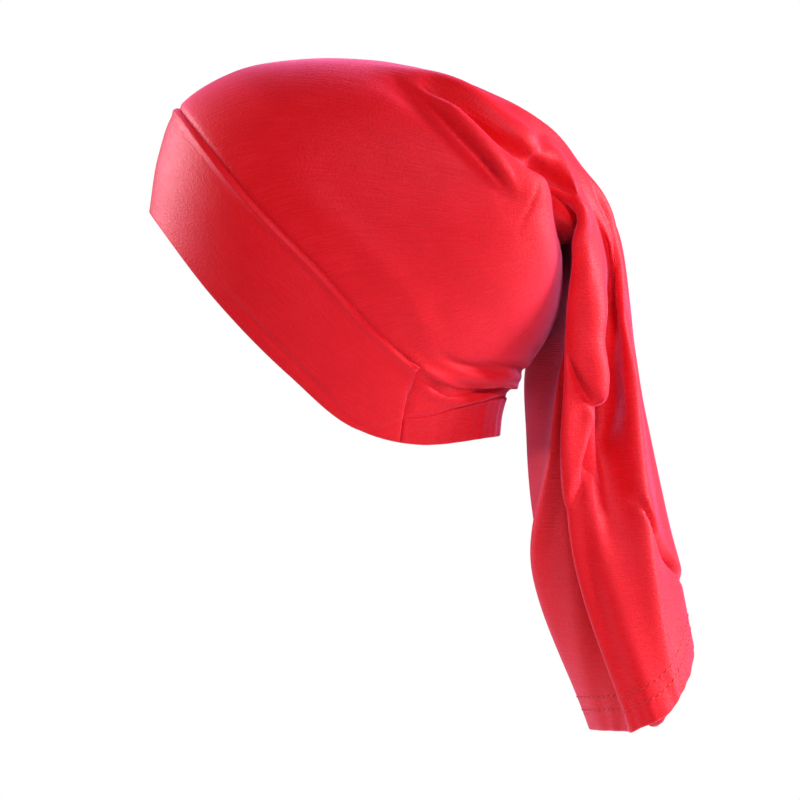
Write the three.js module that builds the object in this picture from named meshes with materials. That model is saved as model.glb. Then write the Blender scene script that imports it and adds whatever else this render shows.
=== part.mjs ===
import * as THREE from 'three';

// A jersey under-scarf cap: a wide double front band, a hood-shaped crown that
// runs on without a seam into an open tube tail, and a gathered casing at the
// nape. Millimetres, +Z up, the face opening looks along -Y, and the wearer's
// left side is +X. The origin is where the top of the head carries the crown.

// Driving sizes
const CROWN_LENGTH = 190; // forehead to the back of the head
const CROWN_HEIGHT = 176; // top of the crown to the lowest edge
const CROWN_HALF_WIDTH = 79; // middle plane to the widest side
const TAIL_LENGTH = 252; // where the tail turns down, to the hem
const TAIL_DEPTH = 70; // front to back of the hanging tube
const TAIL_HALF_WIDTH = 60; // middle plane to the side of the tube
const JERSEY = 1.2; // one layer of jersey with its loft
const BAND_THICKNESS = 2.2; // double layer of the front band
const CASING_THICKNESS = 1.9; // turned casing over the elastic
const HEM_THICKNESS = 1.9; // turned hem at the end of the tail
const SEAM_GAP = 0.3; // clearance along each seam
const FOLD_DEPTH = 4.5; // deepest fold of the crown and the tail

// Where the head carries the cap, as shares of the crown's length
const SEAT_SETBACK = 0.4;
// Front of the tail where it leaves the crown, as a share of the crown's length
const TAIL_SETBACK = 1.015;
// Height where the tail turns down, as a share of the crown's height
const TAIL_TURN = 0.319;

// Loops around the cap from the face edge to the tail. Each one lies between an
// outer point over the head and an inner point at the nape, both as shares of
// crown length and height. Width is a share of the half width. Sag is how far
// the sides bow off the straight line at the sag places, as shares of the
// crown's height. A squareness under one makes the loop fuller at its sides.
const SAG_PLACES = [0.25, 0.5, 0.7, 0.85];
const CROWN_LOOPS = [
  {
    name: 'face edge', outer: [0.0, 0.397], inner: [0.848, 0.979],
    width: 0.82, square: 0.8, sag: [0.098, 0.161, 0.184, 0.129],
  },
  {
    name: 'band middle', outer: [0.023, 0.245], inner: [0.855, 0.916],
    width: 0.9, square: 0.81, sag: [0.08, 0.125, 0.146, 0.11],
  },
  {
    name: 'seam', outer: [0.07, 0.12], inner: [0.87, 0.869],
    width: 0.95, square: 0.82, sag: [0.056, 0.082, 0.105, 0.089],
  },
  {
    name: 'front', outer: [0.208, 0.025], inner: [0.899, 0.83],
    width: 0.99, square: 0.84, sag: [0.031, 0.057, 0.073, 0.055],
  },
  {
    name: 'brow', outer: [0.365, -0.006], inner: [0.925, 0.783],
    width: 1.0, square: 0.86, sag: [0.018, 0.034, 0.042, 0.031],
  },
  {
    name: 'top', outer: [0.522, -0.005], inner: [0.957, 0.731],
    width: 0.99, square: 0.86, sag: [0.008, 0.013, 0.016, 0.01],
  },
  {
    name: 'behind top', outer: [0.667, 0.018], inner: [0.983, 0.668],
    width: 0.95, square: 0.86, sag: [-0.003, -0.005, -0.005, -0.003],
  },
  {
    name: 'upper back', outer: [0.8, 0.068], inner: [0.998, 0.595],
    width: 0.89, square: 0.84, sag: [-0.003, -0.005, -0.005, -0.003],
  },
  {
    name: 'back', outer: [0.908, 0.127], inner: [0.998, 0.522],
    width: 0.8, square: 0.82, sag: [0.003, 0.005, 0.005, 0.003],
  },
  {
    name: 'gather', outer: [0.998, 0.206], inner: [0.993, 0.482],
    width: 0.68, square: 0.8, sag: [0.026, 0.034, 0.029, 0.016],
  },
  {
    name: 'turn', outer: [1.068, 0.319], inner: [1.017, 0.473],
    width: 0.63, square: 0.8, sag: [0.013, 0.018, 0.016, 0.008],
  },
];

// Levels down the tail as shares of its length, above the hem
const TAIL_LEVELS = [0.088, 0.212, 0.322, 0.468, 0.687];
// The first level drops towards the front by this share of the tail's length
const FIRST_LEVEL_SLANT = 0.055;

// Pleat lines of the tail, by angle around it from the back. Each line gives at
// every level, and last at the hem, its place behind the tail's front as a share
// of the tail's depth and its place sideways as a share of the half width. Hem
// is where the line ends, as a share of the tail's length.
const TAIL_PLEATS = [
  {
    name: 'back ridge', angle: 0, hem: 0.848,
    path: [[0.3, 0], [0.38, 0], [0.45, 0], [0.54, 0], [0.71, 0], [0.82, 0.03]],
  },
  {
    name: 'back near', angle: 25, hem: 0.888,
    path: [[0.28, 0.27], [0.37, 0.27], [0.43, 0.28], [0.5, 0.3], [0.62, 0.38], [0.79, 0.37]],
  },
  {
    name: 'near back ridge', angle: 45, hem: 0.932,
    path: [[0.24, 0.47], [0.33, 0.47], [0.39, 0.45], [0.43, 0.5], [0.51, 0.6], [0.71, 0.6]],
  },
  {
    name: 'near valley', angle: 60, hem: 0.958,
    path: [[0.22, 0.5], [0.26, 0.37], [0.24, 0.37], [0.2, 0.43], [0.3, 0.7], [0.64, 0.7]],
  },
  {
    name: 'flap edge', angle: 72, hem: 0.973,
    path: [[0.18, 0.62], [0.22, 0.6], [0.22, 0.6], [0.15, 0.63], [0.2, 0.73], [0.55, 0.75]],
  },
  {
    name: 'near panel', angle: 85, hem: 0.985,
    path: [[0.11, 0.75], [0.12, 0.75], [0.1, 0.73], [0.06, 0.73], [0.11, 0.68], [0.45, 0.68]],
  },
  {
    name: 'near front edge', angle: 100, hem: 0.996,
    path: [[0.03, 0.73], [-0.02, 0.73], [-0.04, 0.73], [-0.05, 0.72], [0.04, 0.62], [0.38, 0.57]],
  },
  {
    name: 'front valley', angle: 120, hem: 0.996,
    path: [[0.07, 0.53], [0.03, 0.53], [0.01, 0.53], [-0.01, 0.53], [0.09, 0.37], [0.28, 0.3]],
  },
  {
    name: 'front ridge', angle: 140, hem: 0.998,
    path: [[0.05, 0.33], [0.02, 0.4], [-0.03, 0.43], [-0.1, 0.4], [-0.22, 0.07], [0.15, -0.07]],
  },
  {
    name: 'front middle', angle: 170, hem: 0.998,
    path: [[0.06, 0], [0.03, 0], [-0.05, -0.07], [-0.15, -0.03], [-0.18, -0.23], [0.18, -0.33]],
  },
  {
    name: 'far front ridge', angle: 210, hem: 0.998,
    path: [[0.01, -0.47], [-0.04, -0.6], [-0.26, -0.7], [-0.27, -0.57], [-0.17, -0.6], [0.22, -0.63]],
  },
  {
    name: 'far corner', angle: 245, hem: 0.998,
    path: [[0.02, -0.77], [-0.08, -0.9], [-0.19, -0.92], [-0.18, -0.87], [-0.06, -0.93], [0.35, -0.92]],
  },
  {
    name: 'far side', angle: 280, hem: 0.996,
    path: [[0.16, -0.77], [0.2, -0.83], [0.17, -0.9], [0.14, -0.95], [0.27, -1.0], [0.52, -0.87]],
  },
  {
    name: 'far back', angle: 320, hem: 0.984,
    path: [[0.26, -0.43], [0.35, -0.47], [0.4, -0.53], [0.45, -0.6], [0.57, -0.63], [0.65, -0.47]],
  },
];

// Folds raised (or sunk, when negative) along the cloth's normal. Height is a
// share of the fold depth. A fold that runs along the tube has a path of
// [station, angle] and a spread in degrees; one that runs across it has a path of
// [angle, station] and a spread in stations. Mirror is its height on the far side.
const FOLDS = [
  {
    name: 'top roll', height: 0.67, spread: 9, mirror: 0.8,
    along: [[5.2, 24], [7.0, 37], [8.3, 28], [9.2, 22]],
  },
  {
    name: 'under the roll', height: -1, spread: 7.5, mirror: 0.8,
    along: [[5.9, 38], [6.45, 53], [7.2, 69], [8.3, 75], [9.4, 68]],
  },
  {
    name: 'crown back swell', height: 0.33, spread: 12, mirror: 0.8,
    along: [[6.3, 80], [7.3, 94], [8.3, 100]],
  },
  {
    name: 'behind the head', height: -1.1, spread: 12, mirror: 0.6,
    along: [[8.5, 84], [9.2, 95], [9.9, 110], [10.6, 122]],
  },
  {
    name: 'tail front ridge', height: 0.8, spread: 11, mirror: 0.3,
    along: [[8.5, 50], [9.45, 62], [9.9, 80], [10.5, 90], [11.2, 100]],
  },
  {
    name: 'second tail ridge', height: 0.5, spread: 9, mirror: 0.4,
    along: [[9.5, 26], [10.3, 24], [11.2, 38], [12.2, 42]],
  },
  {
    name: 'between the ridges', height: -0.45, spread: 9, mirror: 0.4,
    along: [[9.6, 44], [10.2, 50], [10.8, 55], [11.3, 58]],
  },
  {
    name: 'near valley', height: -0.8, spread: 7.5, mirror: 0,
    along: [[11.7, 60], [12.1, 62], [12.75, 68], [13.3, 60], [13.8, 60], [14.3, 72]],
  },
  {
    name: 'near valley lip', height: 0.45, spread: 8, mirror: 0,
    along: [[11.6, 76], [12.75, 84], [13.5, 76], [14.2, 84]],
  },
  {
    name: 'near back ridge', height: 0.55, spread: 8, mirror: 0,
    along: [[12.6, 42], [13.6, 45], [14.6, 43], [15.7, 50]],
  },
  {
    name: 'far valley', height: -0.9, spread: 10, mirror: 0,
    along: [[12.2, 300], [13.8, 296], [15.6, 300]],
  },
  {
    name: 'far ridge', height: 0.45, spread: 10, mirror: 0,
    along: [[11.8, 276], [13.4, 278], [15.8, 274]],
  },
  {
    name: 'back valley', height: -0.45, spread: 9, mirror: 0,
    along: [[12.6, 14], [14.0, 10], [15.2, 20]],
  },
  {
    name: 'soft crown valley', height: -0.58, spread: 0.25, mirror: 0.6,
    across: [[36, 5.15], [55, 5.55], [70, 5.82], [95, 6.27]],
  },
  {
    name: 'soft crown ridge', height: 0.5, spread: 0.25, mirror: 0.6,
    across: [[40, 6.0], [64, 6.3], [83, 6.42], [96, 6.33]],
  },
  {
    name: 'ridge over the ear', height: 0.31, spread: 0.35, mirror: 1,
    across: [[60, 2.6], [78, 2.7], [100, 2.95], [114, 2.9], [128, 2.5]],
  },
  {
    name: 'nape ridge', height: 0.35, spread: 0.22, mirror: 1,
    across: [[130, 2.0], [150, 2.3], [180, 2.5]],
  },
  {
    name: 'nape valley', height: -0.4, spread: 0.22, mirror: 1,
    across: [[131, 1.7], [148, 1.95], [163, 2.2], [180, 2.15]],
  },
  {
    name: 'upper nape valley', height: -0.4, spread: 0.25, mirror: 1,
    across: [[138, 2.5], [150, 2.9], [162, 3.3], [180, 3.4]],
  },
];

// Where the front band ends behind each ear, as an angle from the forehead
const BAND_END = 127.5;
// Upper edge of the nape casing as [angle, station]
const CASING_TOP = [[BAND_END, 0.56], [138, 0.84], [152, 1.36], [172, 1.8], [180, 1.85]];

const SEAM_STATION = 2;
const LAST_CROWN_STATION = CROWN_LOOPS.length - 1;
const HEM_STATION = LAST_CROWN_STATION + TAIL_LEVELS.length + 1;

// Stations of the tube where its rows of faces lie, finer where folds cross it
const ROW_SPANS = [
  { to: 3.6, rows: 7 },
  { to: 5.0, rows: 3 },
  { to: 7.0, rows: 8 },
  { to: 9.4, rows: 8 },
  { to: 12.0, rows: 8 },
  { to: 13.0, rows: 3 },
  { to: 14.0, rows: 3 },
  { to: 15.0, rows: 3 },
  { to: 16.0, rows: 4 },
];
const BAND_ROWS = 5;
const CASING_ROWS = 2;
const WEDGE_ROWS = 2;
const SIDE_COLUMNS = 21; // forehead to the band's end on the near side
const NAPE_COLUMNS = 13; // one band end to the other round the nape
const FAR_COLUMNS = 16; // band's end to the forehead on the far side

const RADIANS = Math.PI / 180;

function smooth(from, to, value) {
  const share = Math.min(1, Math.max(0, (value - from) / (to - from)));
  return share * share * (3 - 2 * share);
}

// Cubic through [place, value] points, with slopes taken from the neighbours
function spline(points, place) {
  const last = points.length - 1;
  let i = 0;
  while (i < last - 1 && place > points[i + 1][0]) i += 1;
  const [k1, v1] = points[i];
  const [k2, v2] = points[i + 1];
  const [k0, v0] = i > 0 ? points[i - 1] : [2 * k1 - k2, 2 * v1 - v2];
  const [k3, v3] = i + 2 <= last ? points[i + 2] : [2 * k2 - k1, 2 * v2 - v1];
  const step = k2 - k1;
  const slope = (ka, va, kb, vb, kc, vc) =>
    ((((vb - va) / (kb - ka)) * (kc - kb) + ((vc - vb) / (kc - kb)) * (kb - ka)) / (kc - ka)) * step;
  const start = slope(k0, v0, k1, v1, k2, v2);
  const end = slope(k1, v1, k2, v2, k3, v3);
  const s = Math.min(1, Math.max(0, (place - k1) / step));
  return (
    (2 * s ** 3 - 3 * s ** 2 + 1) * v1 +
    (s ** 3 - 2 * s ** 2 + s) * start +
    (3 * s ** 2 - 2 * s ** 3) * v2 +
    (s ** 3 - s ** 2) * end
  );
}

// Point of one crown loop at an angle from its outer point
function crownPoint(loop, angle) {
  const outer = new THREE.Vector2(loop.outer[0] * CROWN_LENGTH, -loop.outer[1] * CROWN_HEIGHT);
  const inner = new THREE.Vector2(loop.inner[0] * CROWN_LENGTH, -loop.inner[1] * CROWN_HEIGHT);
  const chord = inner.clone().sub(outer);
  const down = new THREE.Vector2(chord.y, -chord.x).normalize();
  const along = (1 - Math.cos(angle * RADIANS)) / 2;
  const sags = [[0, 0], ...SAG_PLACES.map((at, i) => [at, loop.sag[i]]), [1, 0]];
  const bow = spline(sags, along) * CROWN_HEIGHT;
  const side = Math.sin(angle * RADIANS);
  const place = outer.clone().addScaledVector(chord, along).addScaledVector(down, bow);
  return new THREE.Vector3(
    CROWN_HALF_WIDTH * loop.width * Math.sign(side) * Math.abs(side) ** loop.square,
    place.x - SEAT_SETBACK * CROWN_LENGTH,
    place.y,
  );
}

// The pleat lines of one level as closed curves of setback, side and drop
function levelCurves(level) {
  const lines = TAIL_PLEATS.map((pleat) => {
    const slant = level === 0 ? (FIRST_LEVEL_SLANT * (1 - Math.cos(pleat.angle * RADIANS))) / 2 : 0;
    const drop = level < TAIL_LEVELS.length ? TAIL_LEVELS[level] + slant : pleat.hem;
    return { angle: pleat.angle, setback: pleat.path[level][0], side: pleat.path[level][1], drop };
  });
  const around = [
    ...lines.slice(-2).map((line) => ({ ...line, angle: line.angle - 360 })),
    ...lines,
    ...lines.slice(0, 3).map((line) => ({ ...line, angle: line.angle + 360 })),
  ];
  return {
    setback: around.map((line) => [line.angle, line.setback]),
    side: around.map((line) => [line.angle, line.side]),
    drop: around.map((line) => [line.angle, line.drop]),
  };
}

const LEVEL_CURVES = Array.from({ length: TAIL_LEVELS.length + 1 }, (_, level) => levelCurves(level));

function tailPoint(curves, angle) {
  return new THREE.Vector3(
    spline(curves.side, angle) * TAIL_HALF_WIDTH,
    (TAIL_SETBACK - SEAT_SETBACK) * CROWN_LENGTH + spline(curves.setback, angle) * TAIL_DEPTH,
    -TAIL_TURN * CROWN_HEIGHT - spline(curves.drop, angle) * TAIL_LENGTH,
  );
}

// All loops at one angle, with one more before the first and after the last
function lineAt(angle) {
  const turned = ((angle % 360) + 360) % 360;
  const line = [
    ...CROWN_LOOPS.map((loop) => crownPoint(loop, turned)),
    ...LEVEL_CURVES.map((curves) => tailPoint(curves, turned)),
  ];
  const last = line.length - 1;
  const before = line[0].clone().multiplyScalar(2).sub(line[1]);
  const after = line[last].clone().multiplyScalar(2).sub(line[last - 1]);
  return [before, ...line, after];
}

// Smooth surface through the loops: a curve along each line, paced by the square
// root of the distance between its points
function basePoint(line, station) {
  const i = Math.min(Math.floor(station), line.length - 4);
  const s = station - i;
  const [p0, p1, p2, p3] = line.slice(i, i + 4);
  const t1 = Math.sqrt(p0.distanceTo(p1)) + 1e-6;
  const t2 = Math.sqrt(p1.distanceTo(p2)) + 1e-6;
  const t3 = Math.sqrt(p2.distanceTo(p3)) + 1e-6;
  const mix = (a, b, c) => (b - a) / t1 - (c - a) / (t1 + t2) + (c - b) / t2;
  const leave = (a, b, c) => (b - a) / t2 - (c - a) / (t2 + t3) + (c - b) / t3;
  const axis = (key) => {
    const start = mix(p0[key], p1[key], p2[key]) * t2;
    const end = leave(p1[key], p2[key], p3[key]) * t2;
    return (
      (2 * s ** 3 - 3 * s ** 2 + 1) * p1[key] +
      (s ** 3 - 2 * s ** 2 + s) * start +
      (3 * s ** 2 - 2 * s ** 3) * p2[key] +
      (s ** 3 - s ** 2) * end
    );
  };
  return new THREE.Vector3(axis('x'), axis('y'), axis('z'));
}

// Height of one fold on one side of the cap
function foldShare(fold, angle, station) {
  const path = fold.along ?? fold.across;
  const place = fold.along ? station : angle;
  const across = fold.along ? angle : station;
  const first = path[0][0];
  const last = path[path.length - 1][0];
  const ease = fold.along ? Math.min(0.8, (last - first) / 3) : (last - first) / 4;
  const reachesMiddle = fold.across && last >= 180;
  const fadeIn = smooth(first - ease / 2, first + ease, place);
  const fadeOut = reachesMiddle ? Number(place <= 180) : 1 - smooth(last - ease, last + ease / 2, place);
  let away = across - spline(path, Math.min(last, Math.max(first, place)));
  if (fold.along) away = ((((away + 180) % 360) + 360) % 360) - 180;
  return fold.height * Math.exp(-((away / fold.spread) ** 2)) * fadeIn * fadeOut;
}

function foldHeight(angle, station) {
  const near = ((angle % 360) + 360) % 360;
  const far = (360 - near) % 360;
  let share = 0;
  for (const fold of FOLDS) {
    share += foldShare(fold, near, station);
    if (fold.mirror > 0) share += fold.mirror * foldShare(fold, far, station);
  }
  return share * FOLD_DEPTH;
}

// Point on the folded cloth with the cloth's outward normal
const ANGLE_STEP = 0.5;
const STATION_STEP = 0.01;
const lineCache = new Map();

function cachedLine(angle) {
  if (!lineCache.has(angle)) lineCache.set(angle, lineAt(angle));
  return lineCache.get(angle);
}

function normalFrom(pointAt, angle, station) {
  const around = pointAt(angle + ANGLE_STEP, station).sub(pointAt(angle - ANGLE_STEP, station));
  const low = Math.max(0, station - STATION_STEP);
  const high = Math.min(HEM_STATION, station + STATION_STEP);
  const along = pointAt(angle, high).sub(pointAt(angle, low));
  return around.cross(along).normalize();
}

function smoothPoint(angle, station) {
  return basePoint(cachedLine(angle), station);
}

function foldedPoint(angle, station) {
  const normal = normalFrom(smoothPoint, angle, station);
  return smoothPoint(angle, station).addScaledVector(normal, foldHeight(angle, station));
}

function clothPoint(angle, station) {
  return { place: foldedPoint(angle, station), normal: normalFrom(foldedPoint, angle, station) };
}

// Angles of the columns of faces, with one at each end of the front band
const COLUMN_ANGLES = [];
for (let i = 0; i < SIDE_COLUMNS; i += 1) COLUMN_ANGLES.push((BAND_END * i) / SIDE_COLUMNS);
for (let i = 0; i < NAPE_COLUMNS; i += 1) {
  COLUMN_ANGLES.push(BAND_END + ((360 - 2 * BAND_END) * i) / NAPE_COLUMNS);
}
for (let i = 0; i < FAR_COLUMNS; i += 1) {
  COLUMN_ANGLES.push(360 - BAND_END + (BAND_END * i) / FAR_COLUMNS);
}
const NEAR_END = SIDE_COLUMNS;
const FAR_END = SIDE_COLUMNS + NAPE_COLUMNS;

// Station step that moves an edge by a distance at one place
function stationsFor(distance, angle, station) {
  const length = smoothPoint(angle, station + STATION_STEP).distanceTo(smoothPoint(angle, station));
  return (distance / length) * STATION_STEP;
}

// Angle step that moves an edge by a distance at one place
function degreesFor(distance, angle, station) {
  const length = smoothPoint(angle + ANGLE_STEP, station).distanceTo(smoothPoint(angle, station));
  return (distance / length) * ANGLE_STEP;
}

function casingTop(angle) {
  return spline(CASING_TOP, angle <= 180 ? angle : 360 - angle);
}

// Closed wall over a grid of cloth points. A spot gives the point, its normal and
// the wall outside and inside it; hasCell tells which faces of the grid exist.
function clothWall(rows, columns, looped, spotAt, hasCell) {
  const vertices = [];
  const faces = [];
  const outside = (row, column) => 2 * (row * columns + (column % columns));
  const inside = (row, column) => outside(row, column) + 1;
  for (let row = 0; row < rows; row += 1) {
    for (let column = 0; column < columns; column += 1) {
      const { place, normal, out, into } = spotAt(row, column);
      vertices.push(place.clone().addScaledVector(normal, out));
      vertices.push(place.clone().addScaledVector(normal, -into));
    }
  }
  const quad = (a, b, c, d) => faces.push([a, b, c], [a, c, d]);
  const lastColumn = looped ? columns : columns - 1;
  const cellAt = (row, column) => {
    if (row < 0 || row >= rows - 1) return false;
    if (!looped && (column < 0 || column >= lastColumn)) return false;
    return hasCell(row, (column + columns) % columns);
  };
  for (let row = 0; row < rows - 1; row += 1) {
    for (let column = 0; column < lastColumn; column += 1) {
      if (!cellAt(row, column)) continue;
      const next = column + 1;
      quad(outside(row, column), outside(row, next), outside(row + 1, next), outside(row + 1, column));
      quad(inside(row, column), inside(row + 1, column), inside(row + 1, next), inside(row, next));
      if (!cellAt(row - 1, column)) {
        quad(inside(row, column), inside(row, next), outside(row, next), outside(row, column));
      }
      if (!cellAt(row + 1, column)) {
        quad(outside(row + 1, column), outside(row + 1, next), inside(row + 1, next), inside(row + 1, column));
      }
      if (!cellAt(row, column - 1)) {
        quad(inside(row, column), outside(row, column), outside(row + 1, column), inside(row + 1, column));
      }
      if (!cellAt(row, column + 1)) {
        quad(outside(row, next), inside(row, next), inside(row + 1, next), outside(row + 1, next));
      }
    }
  }
  const used = new Map();
  const positions = [];
  const index = faces.flat().map((corner) => {
    if (!used.has(corner)) {
      used.set(corner, used.size);
      positions.push(...vertices[corner].toArray());
    }
    return used.get(corner);
  });
  const geometry = new THREE.BufferGeometry();
  geometry.setAttribute('position', new THREE.Float32BufferAttribute(positions, 3));
  geometry.setIndex(index);
  geometry.computeVertexNormals();
  return geometry;
}

// Front band: double jersey from one band end over the forehead to the other
function frontBand() {
  const farSide = COLUMN_ANGLES.slice(FAR_END).map((angle) => angle - 360);
  const angles = [...farSide, ...COLUMN_ANGLES.slice(0, NEAR_END + 1)];
  const spotAt = (row, column) => {
    const atSeam = SEAM_STATION - stationsFor(SEAM_GAP / 2, angles[column], SEAM_STATION);
    const station = (atSeam * row) / BAND_ROWS;
    const atEnd = column === 0 || column === angles.length - 1;
    const half = degreesFor(SEAM_GAP / 2, angles[column], station);
    const inward = atEnd ? -half * Math.sign(angles[column]) : 0;
    const out = BAND_THICKNESS - CASING_THICKNESS;
    return { ...clothPoint(angles[column] + inward, station), out, into: BAND_THICKNESS - out };
  };
  return clothWall(BAND_ROWS + 1, angles.length, false, spotAt, () => true);
}

// Nape casing: turned jersey over elastic, between the two band ends
function napeCasing() {
  const angles = COLUMN_ANGLES.slice(NEAR_END, FAR_END + 1);
  const spotAt = (row, column) => {
    const top = casingTop(angles[column]);
    const edge = top - stationsFor(SEAM_GAP / 2, angles[column], top);
    const station = (edge * row) / CASING_ROWS;
    const atEnd = column === 0 || column === angles.length - 1;
    const half = degreesFor(SEAM_GAP / 2, angles[column], station);
    const inward = atEnd ? half * Math.sign(180 - angles[column]) : 0;
    return { ...clothPoint(angles[column] + inward, station), out: 0, into: CASING_THICKNESS };
  };
  return clothWall(CASING_ROWS + 1, angles.length, false, spotAt, () => true);
}

// Crown and tail: one tube of jersey from the seam and the casing to the hem
function crownTube() {
  const stations = [SEAM_STATION];
  for (const span of ROW_SPANS) {
    const from = stations[stations.length - 1];
    for (let i = 1; i <= span.rows; i += 1) stations.push(from + ((span.to - from) * i) / span.rows);
  }
  const overNape = (column) => column > NEAR_END && column < FAR_END;
  const spotAt = (row, column) => {
    const angle = COLUMN_ANGLES[column];
    let station = stations[Math.max(0, row - WEDGE_ROWS)];
    let shift = 0;
    const inWedge = row < WEDGE_ROWS && column >= NEAR_END && column <= FAR_END;
    if (inWedge) {
      const top = casingTop(angle);
      const edge = top + stationsFor(SEAM_GAP / 2, angle, top);
      station = edge + ((SEAM_STATION - edge) * row) / WEDGE_ROWS;
      if (!overNape(column)) shift = degreesFor(SEAM_GAP / 2, angle, station) * Math.sign(180 - angle);
    } else if (row === WEDGE_ROWS && !overNape(column)) {
      station += stationsFor(SEAM_GAP / 2, angle, station);
      const atBandEnd = column === NEAR_END || column === FAR_END;
      if (atBandEnd) shift = degreesFor(SEAM_GAP / 2, angle, station) * Math.sign(180 - angle);
    }
    const atHem = row >= WEDGE_ROWS + stations.length - 2;
    return { ...clothPoint(angle + shift, station), out: 0, into: atHem ? HEM_THICKNESS : JERSEY };
  };
  const hasCell = (row, column) => row >= WEDGE_ROWS || (column >= NEAR_END && column < FAR_END);
  return clothWall(WEDGE_ROWS + stations.length, COLUMN_ANGLES.length, true, spotAt, hasCell);
}

const jersey = new THREE.MeshStandardMaterial({ color: 0xe0202c, roughness: 0.85, metalness: 0 });
const doubleJersey = new THREE.MeshStandardMaterial({ color: 0xdd1f2e, roughness: 0.85, metalness: 0 });
const gatheredJersey = new THREE.MeshStandardMaterial({ color: 0xd41a20, roughness: 0.85, metalness: 0 });

const group = new THREE.Group();
const pieces = [
  { name: 'front_band', geometry: frontBand(), material: doubleJersey },
  { name: 'nape_band', geometry: napeCasing(), material: gatheredJersey },
  { name: 'crown_tube', geometry: crownTube(), material: jersey },
];
for (const { name, geometry, material } of pieces) {
  const mesh = new THREE.Mesh(geometry, material);
  mesh.name = name;
  group.add(mesh);
}

export default group;
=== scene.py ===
import math

import bpy
import numpy as np
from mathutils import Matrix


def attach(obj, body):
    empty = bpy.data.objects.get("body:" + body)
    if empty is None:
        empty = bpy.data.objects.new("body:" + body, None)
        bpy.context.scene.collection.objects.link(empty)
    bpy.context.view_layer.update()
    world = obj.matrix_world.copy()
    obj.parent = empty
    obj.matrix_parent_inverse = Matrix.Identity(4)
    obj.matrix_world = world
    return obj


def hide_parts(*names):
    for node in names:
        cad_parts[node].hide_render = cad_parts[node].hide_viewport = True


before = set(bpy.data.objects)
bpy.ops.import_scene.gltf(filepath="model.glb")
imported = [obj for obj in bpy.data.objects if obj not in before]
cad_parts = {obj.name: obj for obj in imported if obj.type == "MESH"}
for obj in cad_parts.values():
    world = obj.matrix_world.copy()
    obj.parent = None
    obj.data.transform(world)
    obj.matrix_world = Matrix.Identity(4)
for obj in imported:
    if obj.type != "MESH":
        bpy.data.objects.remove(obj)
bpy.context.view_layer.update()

# Front band
# A wide strip of viscose jersey in two layers, folded at the face edge and sewn to the crown along
# its other edge. Each end is caught in a short seam behind the ear.

# The three pieces are sewn into one form, so they share one surface: loops of cloth from the face
# edge over the crown to the hem of the tail. Angle runs round each loop in degrees from its outer
# point, station counts the loops, and the worn side of the cloth is inside. Lengths are in mm.
MILLIMETRE = 0.001
CROWN_LENGTH = 190.0
CROWN_HEIGHT = 176.0
CROWN_HALF_WIDTH = 79.0
TAIL_LENGTH = 252.0
TAIL_DEPTH = 70.0
TAIL_HALF_WIDTH = 60.0
FOLD_DEPTH = 4.5
SEAT_SETBACK = 0.4
TAIL_SETBACK = 1.015
TAIL_TURN = 0.319
BAND_END = 127.5
SEAM_STATION = 2.0
HEM_STATION = 16.0

# Shares of crown length and height at the outer and inner point, share of the half width, sag at
# the sag places as shares of the crown's height, and squareness
SAG_PLACES = (0.25, 0.5, 0.7, 0.85)
CROWN_LOOPS = [
    # name, outer, inner, width, sag, square
    ("face edge", (0.0, 0.397), (0.848, 0.979), 0.82, (0.098, 0.161, 0.184, 0.129), 0.8),
    ("band middle", (0.023, 0.245), (0.855, 0.916), 0.9, (0.08, 0.125, 0.146, 0.11), 0.81),
    ("seam", (0.07, 0.12), (0.87, 0.869), 0.95, (0.056, 0.082, 0.105, 0.089), 0.82),
    ("front", (0.208, 0.025), (0.899, 0.83), 0.99, (0.031, 0.057, 0.073, 0.055), 0.84),
    ("brow", (0.365, -0.006), (0.925, 0.783), 1.0, (0.018, 0.034, 0.042, 0.031), 0.86),
    ("top", (0.522, -0.005), (0.957, 0.731), 0.99, (0.008, 0.013, 0.016, 0.01), 0.86),
    ("behind top", (0.667, 0.018), (0.983, 0.668), 0.95, (-0.003, -0.005, -0.005, -0.003), 0.86),
    ("upper back", (0.8, 0.068), (0.998, 0.595), 0.89, (-0.003, -0.005, -0.005, -0.003), 0.84),
    ("back", (0.908, 0.127), (0.998, 0.522), 0.8, (0.003, 0.005, 0.005, 0.003), 0.82),
    ("gather", (0.998, 0.206), (0.993, 0.482), 0.68, (0.026, 0.034, 0.029, 0.016), 0.8),
    ("turn", (1.068, 0.319), (1.017, 0.473), 0.63, (0.013, 0.018, 0.016, 0.008), 0.8),
]

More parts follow.
